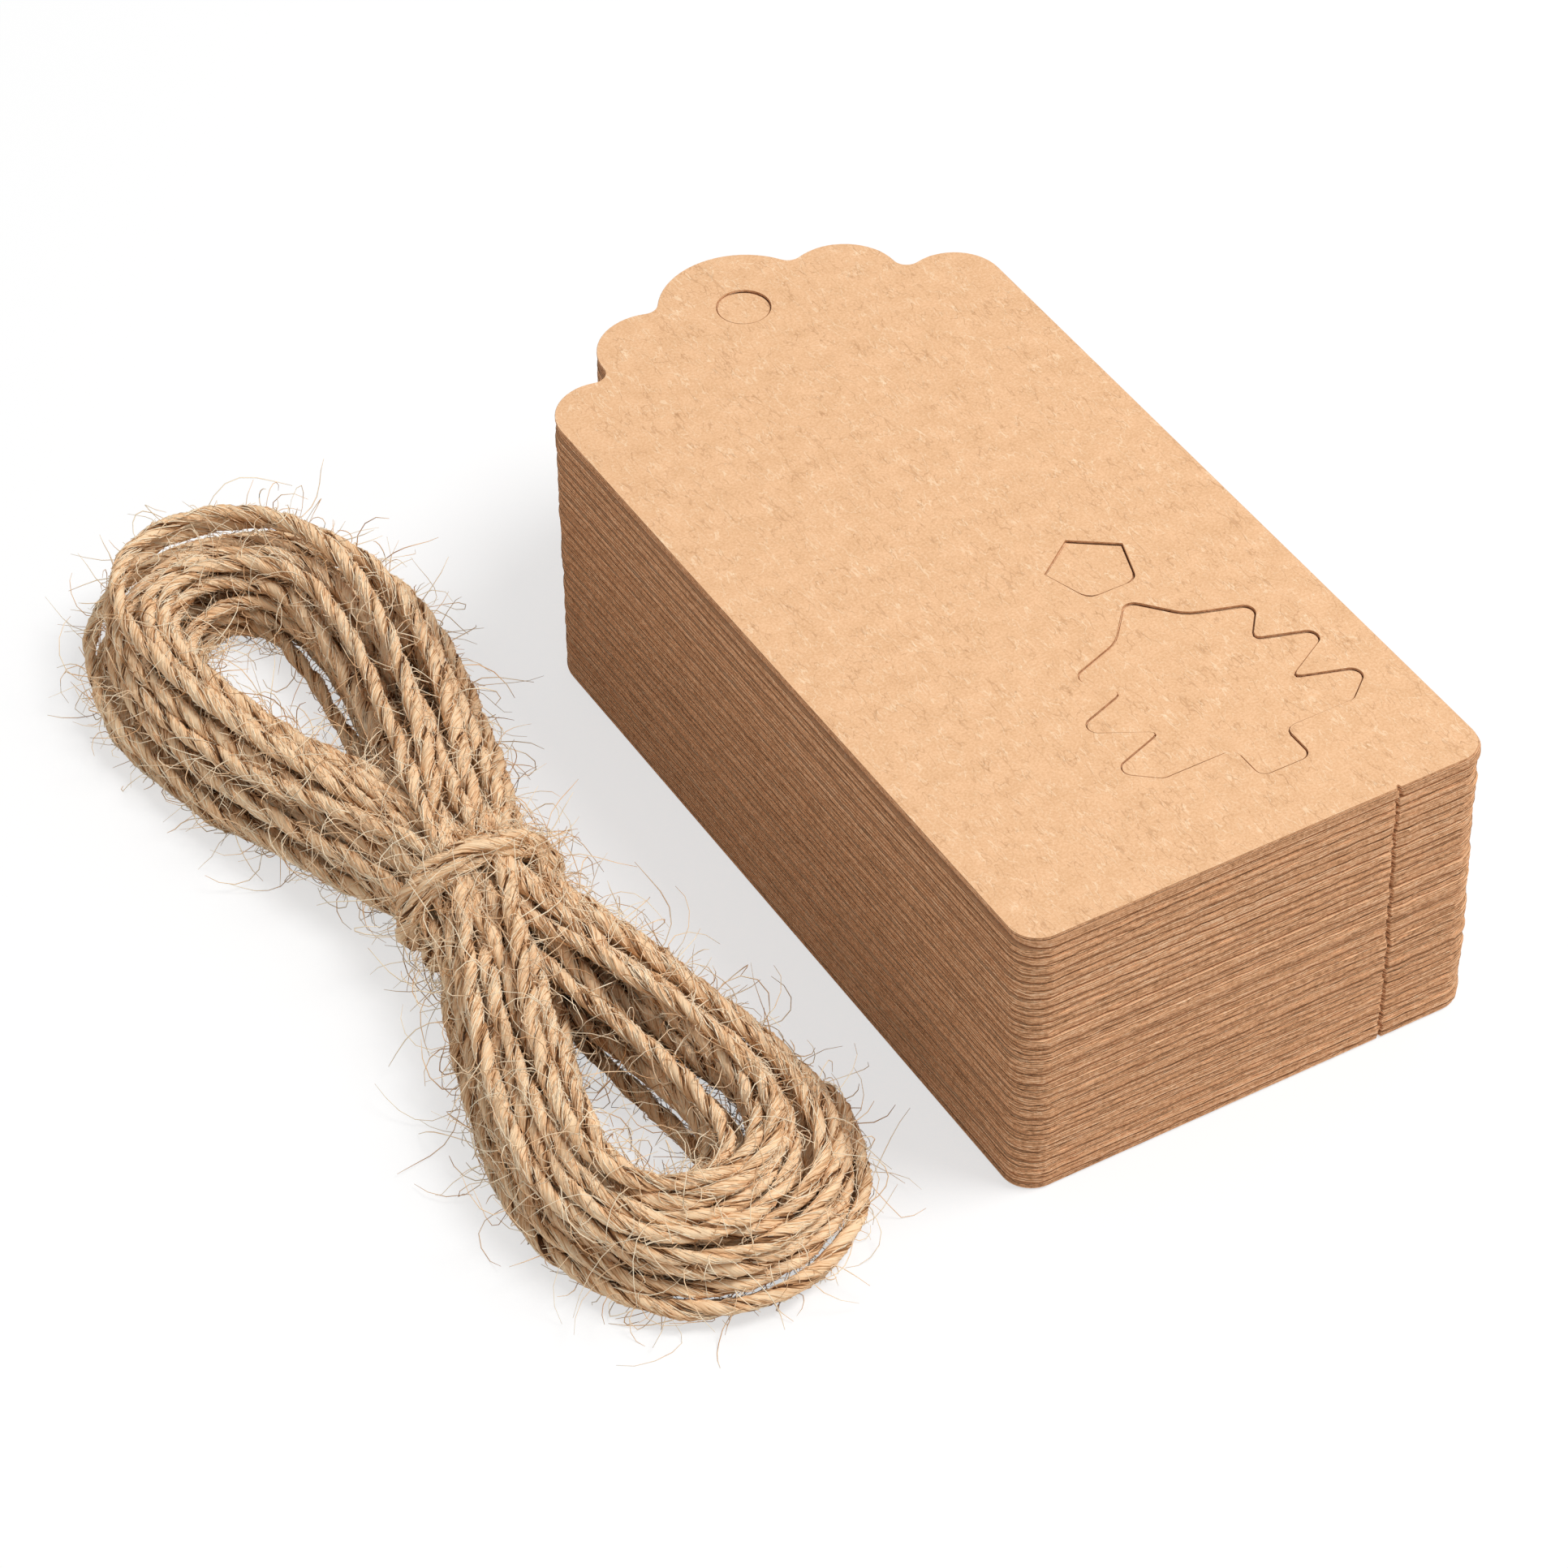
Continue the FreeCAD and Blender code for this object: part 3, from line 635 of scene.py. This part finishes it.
def borrow(node, name):  # a merged copy of a frame node's mesh, as the start of a finished piece
    piece = bpy.data.objects.new(name, frame["nodes"][node].data.copy())
    bpy.context.scene.collection.objects.link(piece)
    piece.data.materials.clear()
    openEdit(piece)
    bpy.ops.mesh.remove_doubles(threshold=0.0005 * mm)
    bpy.ops.mesh.normals_make_consistent(inside=False)
    leaveEdit()
    base = -min(v.co.z for v in piece.data.vertices)
    bpy.ops.transform.translate(value=(0, 0, base))
    applyPlace()
    return piece


def wallsOf(node, name):
    piece = borrow(node, name)
    choose(piece, "FACE", lambda face: abs(face.normal.z) > 0.5)
    bpy.ops.mesh.delete(type="FACE")
    bpy.ops.mesh.select_all(action="SELECT")
    bpy.ops.mesh.tris_convert_to_quads(face_threshold=0.01, shape_threshold=3.1)
    leaveEdit()
    return piece


def lengthOf(edge, places):
    first, second = (places[n] for n in edge.vertices)
    return (first - second).length


def isUpright(edge, places):
    first, second = (places[n] for n in edge.vertices)
    return abs(first.z - second.z) > 0.9 * (first - second).length


def roundNotches(piece, reach):
    openEdit(piece, "EDGE", "DESELECT")
    bpy.ops.mesh.edges_select_sharp(sharpness=math.radians(24))
    leaveEdit()
    places = [v.co.copy() for v in piece.data.vertices]
    corners = {e.index for e in piece.data.edges
               if e.select and isUpright(e, places) and places[e.vertices[0]].y < cards["treeEnd"] * mm}
    choose(piece, "EDGE", lambda edge: edge.index in corners)
    bpy.ops.mesh.bevel(offset=reach * mm, segments=3)
    leaveEdit()


def divideSides(piece):
    for least, most, cuts in cards["longSides"]:
        places = [v.co.copy() for v in piece.data.vertices]
        choose(piece, "EDGE", lambda edge: least * mm < lengthOf(edge, places) < most * mm)
        bpy.ops.mesh.subdivide(number_cuts=cuts)
        leaveEdit()


def nickEdge(piece):
    low, high, deep = cards["nick"]
    for x in (low, (low + high) / 2, high):
        openEdit(piece)
        bpy.ops.mesh.bisect(plane_co=(x * mm, 0, 0), plane_no=(1, 0, 0), threshold=0.001 * mm)
        leaveEdit()
    edge = (cards["squareEnd"] + 0.01) * mm
    choose(piece, "VERT", lambda v: v.co.y < edge and low * mm + 1e-6 < v.co.x < high * mm - 1e-6)
    bpy.ops.transform.translate(value=(0, deep * mm, 0))
    leaveEdit()


def closeCaps(piece):
    top = max(v.co.z for v in piece.data.vertices)
    for level in (0, top):
        heights = [v.co.z for v in piece.data.vertices]
        choose(piece, "EDGE", lambda edge: all(abs(heights[n] - level) < 0.01 * mm for n in edge.vertices))
        bpy.ops.mesh.fill(use_beauty=True)
        leaveEdit()
    openEdit(piece)
    bpy.ops.mesh.normals_make_consistent(inside=False)
    leaveEdit()


def softenRims(piece):
    pick(piece)
    tall = cards["thick"] * mm / max(v.co.z for v in piece.data.vertices)
    bpy.ops.transform.resize(value=(1, 1, tall), center_override=(0, 0, 0))
    applyPlace()
    openEdit(piece, "EDGE", "DESELECT")
    bpy.ops.mesh.edges_select_sharp(sharpness=math.radians(60))
    bpy.ops.mesh.bevel(offset=cards["rim"] * mm, segments=1)
    leaveEdit()


def makeCutTag():
    cut = wallsOf("top_tag", "cutTag")
    roundNotches(cut, cards["holeNotch"])  # the hole's edge runs outside the tree's, about the same centres
    divideSides(cut)
    nickEdge(cut)
    closeCaps(cut)
    softenRims(cut)
    return cut


def makeBlank():
    blank = wallsOf("top_tag", "cardBlank")
    side = max(v.co.x for v in blank.data.vertices)
    choose(blank, "VERT", lambda v: v.co.x > side - 0.01 * mm)
    bpy.ops.mesh.select_linked()
    bpy.ops.mesh.select_all(action="INVERT")
    bpy.ops.mesh.delete(type="VERT")
    leaveEdit()
    divideSides(blank)
    nickEdge(blank)
    closeCaps(blank)
    softenRims(blank)
    return blank


def makePopOut(node, name):
    piece = wallsOf(node, name)
    roundNotches(piece, cards["notch"])
    closeCaps(piece)
    softenRims(piece)
    return piece


def waver(piece, chance):  # no two cards' rims run quite alike
    flat = np.empty(len(piece.data.vertices) * 3, dtype=np.float32)
    piece.data.vertices.foreach_get("co", flat)
    places = flat.reshape(-1, 3)
    run = (places[:, 0] - places[:, 1]) / mm
    for turns, rise, reach in cards["waves"]:
        places[:, 2] += rise * mm * np.sin(2 * math.pi * turns * run + chance.uniform(0, 9))
        sway = np.sin(2 * math.pi * turns * run * 1.3 + chance.uniform(0, 9))
        places[:, :2] *= (1 + reach / 35 * sway)[:, None]
    piece.data.vertices.foreach_set("co", places.ravel())


def copyCard(source, name, place, sheet, loose=(0, 0)):  # whether there is air below it, and above it
    x, y, z, turn = place
    piece = bpy.data.objects.new(name, source.data.copy())
    bpy.context.scene.collection.objects.link(piece)
    pick(piece)
    bpy.ops.transform.rotate(value=math.radians(turn), orient_axis="Z", center_override=(0, 0, 0))
    bpy.ops.transform.translate(value=(x * mm, y * mm, z * mm))
    applyPlace()
    middle = (z + cards["thick"] / 2) * mm
    addAttribute(piece.data, "sheet", "FLOAT", "value", [sheet] * len(piece.data.vertices))
    # The rim finish paints a shadow where this marks air.
    addAttribute(piece.data, "loose", "FLOAT", "value", [loose[v.co.z > middle] for v in piece.data.vertices])
    return piece


def sinkPopOut(piece, amount):  # its far right side goes down, and its near left side stays
    corners = [Vector(corner) for corner in piece.bound_box]
    middle = (corners[0] + corners[6]) / 2
    reach = (corners[6] - corners[0]).length / 2
    lean = amount * mm / reach / 2 * cards["lean"]
    pick(piece)
    bpy.ops.transform.rotate(value=lean, orient_axis="X", center_override=middle)
    bpy.ops.transform.rotate(value=-lean, orient_axis="Y", center_override=middle)
    bpy.ops.transform.translate(value=(-cards["shift"] * mm, -cards["shift"] * mm, -amount / 2 * mm))
    applyPlace()


def joined(pieces, name):
    pick(pieces[0])
    for piece in pieces:
        piece.select_set(True)
    if len(pieces) > 1:
        bpy.ops.object.join()
    pieces[0].name = name
    return pieces[0]


def dressCard(piece, body, node):
    for material in kraftFinishes:
        piece.data.materials.append(material)
    for face in piece.data.polygons:
        level = abs(face.normal.z)
        # Slot 2, the rims between paper and cut edge, takes the painted rim shade.
        face.material_index = 0 if level > cards["flatAbove"] else 1 if level < cards["uprightBelow"] else 2
    smoothBelow(piece, 30)
    choose(piece, "FACE", lambda face: abs(face.normal.z) > 0.98)
    bpy.ops.mesh.faces_shade_flat()
    leaveEdit()
    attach(piece, body)
    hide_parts(node)


def restingPlaces():  # cards lie in groups that are pressed together, with the slack between the groups
    chance = random.Random(cards["seed"])
    lower = cards["count"] - 1
    places = []
    while len(places) < lower:
        count = min(chance.choice(cards["groups"]), lower - len(places))
        top = (len(places) + count) * cards["pitch"]
        x, y = (chance.gauss(0, cards["groupSpread"]) for axis in range(2))
        for n in range(count):
            cardX, cardY = x + chance.gauss(0, cards["spread"]), y + chance.gauss(0, cards["spread"])
            z = top - (count - n) * (cards["thick"] + cards["pressed"])
            place = (cardX, cardY, z, chance.gauss(0, cards["turn"]))
            places.append((place, (n == 0, n == count - 1)))
    return places


def stackCards():
    blank, cut = makeBlank(), makeCutTag()
    shapes = {body: makePopOut(node, body + "Blank") for body, node in popOuts.items()}
    chance = random.Random(cards["seed"] + 1)
    places = restingPlaces()
    lower = len(places)
    plain = lower - cards["cutBelow"]
    pieces = []
    for number, (place, loose) in enumerate(places):
        name = f"card{number + 1}"
        isCut = number == 0 or number >= plain
        card = [copyCard(cut if isCut else blank, name, place, number, loose)]
        if isCut:
            for body, shape in shapes.items():
                popOut = copyCard(shape, name + body, place, number)
                if number:
                    sinkPopOut(popOut, cards["sink"] * (1 - (lower - number) / (cards["cutBelow"] + 1)))
                card.append(popOut)
        else:
            waver(card[0], chance)
        pieces.append(joined(card, name))
    for first in range(0, plain, cards["perBlock"]):
        last = first + cards["perBlock"]
        block = joined(pieces[first:last], f"cards{first + 1:02d}to{last:02d}")
        dressCard(block, "stack", f"tags_{first + 1:02d}_to_{last:02d}")
    for number in range(plain, lower):
        dressCard(pieces[number], "stack", f"tag_{number + 1}")
    top = (0, 0, cards["count"] * cards["pitch"] - cards["air"] - cards["thick"], 0)
    dressCard(copyCard(cut, "topTagCard", top, cards["count"]), "top_tag", "top_tag")
    for body, node in popOuts.items():
        popOut = copyCard(shapes[body], body + "PopOut", top, cards["count"])
        sinkPopOut(popOut, cards["sink"])
        dressCard(popOut, body, node)
    for spare in [blank, cut, *shapes.values()]:
        bpy.data.objects.remove(spare)


kraft = {
    "low": (0.775, 0.455, 0.242), "high": (0.86, 0.52, 0.292), "pale": (0.98, 0.74, 0.50),
    "deep": (0.46, 0.235, 0.108), "fleck": (0.22, 0.11, 0.05),
    "edgeDeep": (0.27, 0.12, 0.05), "edge": (0.74, 0.385, 0.195), "edgePale": (1.0, 0.66, 0.41),
    # The three rim colours are painted shade: the first a painted shadow in the air between two cards, the
    # other two patchy painted shade on the rest of the rims.
    "rimGapShadow": (0.035, 0.014, 0.005), "rimShadeDeep": (0.20, 0.09, 0.036), "rimShadePale": (0.62, 0.32, 0.155),
    "mottle": 380.0, "grain": 3900.0, "flecks": 120.0,  # how fine each pattern is
    "grainDeep": 0.34, "grainPale": 0.3, "paleFibre": 0.5, "darkFibre": 0.42, "fleckShow": 0.7,  # how strong
    "lengthwise": 0.3,  # how far the fibres' pattern is drawn out along the tag
    "paleFibres": ((800.0, 14.0, 420.0), (1100.0, -24.0, 500.0)),  # how fine, turned by how much, how broken
    "darkFibres": ((850.0, 8.0, 400.0), (650.0, -38.0, 330.0)),
    "sheetShift": (0.371, 0.233, 0.0),  # how far the pattern moves from one card to the next
}


def curlyLines(finish, place, fibreRuns):
    runs = []
    for scale, turn, broken in fibreRuns:
        long = finish.stretched(place, (scale, scale * kraft["lengthwise"], 1), turn)
        noise = finish.cloud(long, 1.0, 2.0, 0.5)
        line = 1 - finish.between((noise - 0.5).maths("ABSOLUTE"), 0.002, 0.014)
        runs.append(line * finish.between(finish.cloud(place, broken, 1.0), 0.48, 0.56))
    return runs[0] + runs[1]


def kraftFaceFinish():
    finish = Finish("kraftFace", 0.8)
    sheet = finish.attribute("sheet")
    x, y, z = kraft["sheetShift"]
    offset = finish.add("ShaderNodeCombineXYZ", {}, sheet * x, sheet * y, z)
    place = finish.add("ShaderNodeVectorMath", {"operation": "MULTIPLY_ADD"},
                       finish.objectPlace(), (1, 1, 0), offset)
    mottle = finish.cloud(place, kraft["mottle"], 5.0, 0.62)
    grain = finish.cloud(place, kraft["grain"], 3.0, 0.65)
    light = curlyLines(finish, place, kraft["paleFibres"])
    dark = curlyLines(finish, place, kraft["darkFibres"])
    colour = finish.blend(finish.between(mottle, 0.34, 0.66), kraft["low"], kraft["high"])
    colour = finish.blend(finish.between(grain, 0.42, 0.8) * kraft["grainDeep"], colour, kraft["deep"])
    colour = finish.blend(finish.between(grain, 0.56, 0.25) * kraft["grainPale"], colour, kraft["pale"])
    colour = finish.blend(light * kraft["paleFibre"], colour, kraft["pale"])
    colour = finish.blend(dark * kraft["darkFibre"], colour, kraft["deep"])
    cell = finish.add("ShaderNodeTexVoronoi", {}, Vector=place, Scale=kraft["flecks"])
    fleck = 1 - finish.between(cell, 0.012, 0.024)
    colour = finish.blend(fleck * kraft["fleckShow"], colour, kraft["fleck"])
    finish.paint(colour)
    finish.bump(grain + light * 0.5 - dark * 0.4, 0.5, 0.04 * mm)
    return finish.material


def kraftEdgeFinish():
    finish = Finish("kraftEdge", 0.9)
    place = finish.objectPlace()
    streak = finish.cloud(finish.stretched(place, (330, 330, 7000)), 1.0, 3.0, 0.6)
    speck = finish.cloud(place, 2300.0, 3.0, 0.65)
    broad = finish.cloud(finish.stretched(place, (40, 40, 700)), 1.0, 2.0)
    card = finish.add("ShaderNodeTexWhiteNoise", {"noise_dimensions": "1D"}, W=finish.attribute("sheet"))
    tone = card * 0.24 + finish.between(streak, 0.3, 0.7) * 0.30 + finish.between(speck, 0.35, 0.65) * 0.36
    tone = tone + finish.between(broad, 0.3, 0.7) * 0.10
    stops = [(0.12, kraft["edgeDeep"]), (0.5, kraft["edge"]), (0.88, kraft["edgePale"])]
    finish.paint(finish.ramp(stops, tone))
    finish.bump(streak + speck, 0.5, 0.05 * mm)
    return finish.material


def paintedRimShadeFinish():  # the cut rims of the cards, in painted shade: a painted shadow, almost black, where there is air between two cards, and patchy painted shade on the rest of the rims
    finish = Finish("paintedRimShade", 0.95)
    along = finish.cloud(finish.stretched(finish.objectPlace(), (150, 150, 1500)), 1.0, 3.0, 0.6)
    # Painted shade: the rims go from dark brown to paler in patches along them, and a painted shadow, almost
    # black, lies where there is air between two cards, which the paler patches weaken by up to a third.
    patchy = finish.between(along, 0.3, 0.7)
    pressed = finish.blend(patchy, kraft["rimShadeDeep"], kraft["rimShadePale"])
    finish.paint(finish.blend(finish.attribute("loose") * (1 - patchy * 0.35), pressed, kraft["rimGapShadow"]))
    finish.bump(along, 0.4, 0.03 * mm)
    return finish.material


studio = {
    "ambient": 0.46, "white": (1, 1, 1),
    "floorSize": 6, "floorDrop": 0.02,  # m, and mm
    "floorSeen": (1.0, 1.0, 1.0), "floorTrue": (0.8, 0.8, 0.8), "floorGlow": 0.62,
    "key": {"place": (0.42, -0.32, 1.02), "size": 0.5, "power": 9.6},
}


def seenDirectly(nodes):  # by the camera, or in a reflection or a clear thing
    rays = nodes.add("ShaderNodeLightPath", {})
    camera, glossy, clear = (rays.outlet(f"Is {kind} Ray") for kind in ("Camera", "Glossy", "Transmission"))
    return (camera + glossy + clear).maths("MINIMUM", 1.0)


def paleFloor():
    bpy.ops.mesh.primitive_plane_add(size=studio["floorSize"], location=(0, 0, -studio["floorDrop"] * mm))
    floor = bpy.context.object
    floor.name = "tableTop"
    finish = Finish("paleTable", 0.9)
    seen = seenDirectly(finish)
    shade = finish.blend(seen, studio["floorTrue"], studio["floorSeen"])
    matt = finish.add("ShaderNodeBsdfDiffuse", {}, shade)
    glow = finish.add("ShaderNodeEmission", {}, studio["white"], 1.0)
    both = finish.add("ShaderNodeMixShader", {}, seen * studio["floorGlow"], matt, glow)
    finish.feed(finish.tree.nodes["Material Output"].inputs["Surface"], both)
    floor.data.materials.append(finish.material)


def studioLight():
    world = bpy.data.worlds.new("paleStudio")
    bpy.context.scene.world = world
    world.use_nodes = True
    sky = Nodes(world.node_tree)
    soft = sky.tree.nodes["Background"]
    sky.feed(soft.inputs["Color"], studio["white"])
    sky.feed(soft.inputs["Strength"], studio["ambient"])
    bright = sky.add("ShaderNodeBackground", {}, studio["white"], 1.0)
    both = sky.add("ShaderNodeMixShader", {}, seenDirectly(sky), Wire(sky, soft.outputs[0]), bright)
    sky.feed(sky.tree.nodes["World Output"].inputs["Surface"], both)
    key = studio["key"]
    bpy.ops.object.light_add(type="AREA", location=key["place"])
    lamp = bpy.context.object
    lamp.name = "keyLamp"
    lamp.data.shape = "DISK"
    lamp.data.size = key["size"]
    lamp.data.energy = key["power"]
    lamp.rotation_euler = Vector(key["place"]).to_track_quat("Z", "Y").to_euler()
    bpy.context.scene.view_settings.view_transform = "Standard"


placeCamera()
print("twine")
layTwine()
print("cards")
kraftFinishes = (kraftFaceFinish(), kraftEdgeFinish(), paintedRimShadeFinish())
stackCards()
print("studio")
paleFloor()
studioLight()
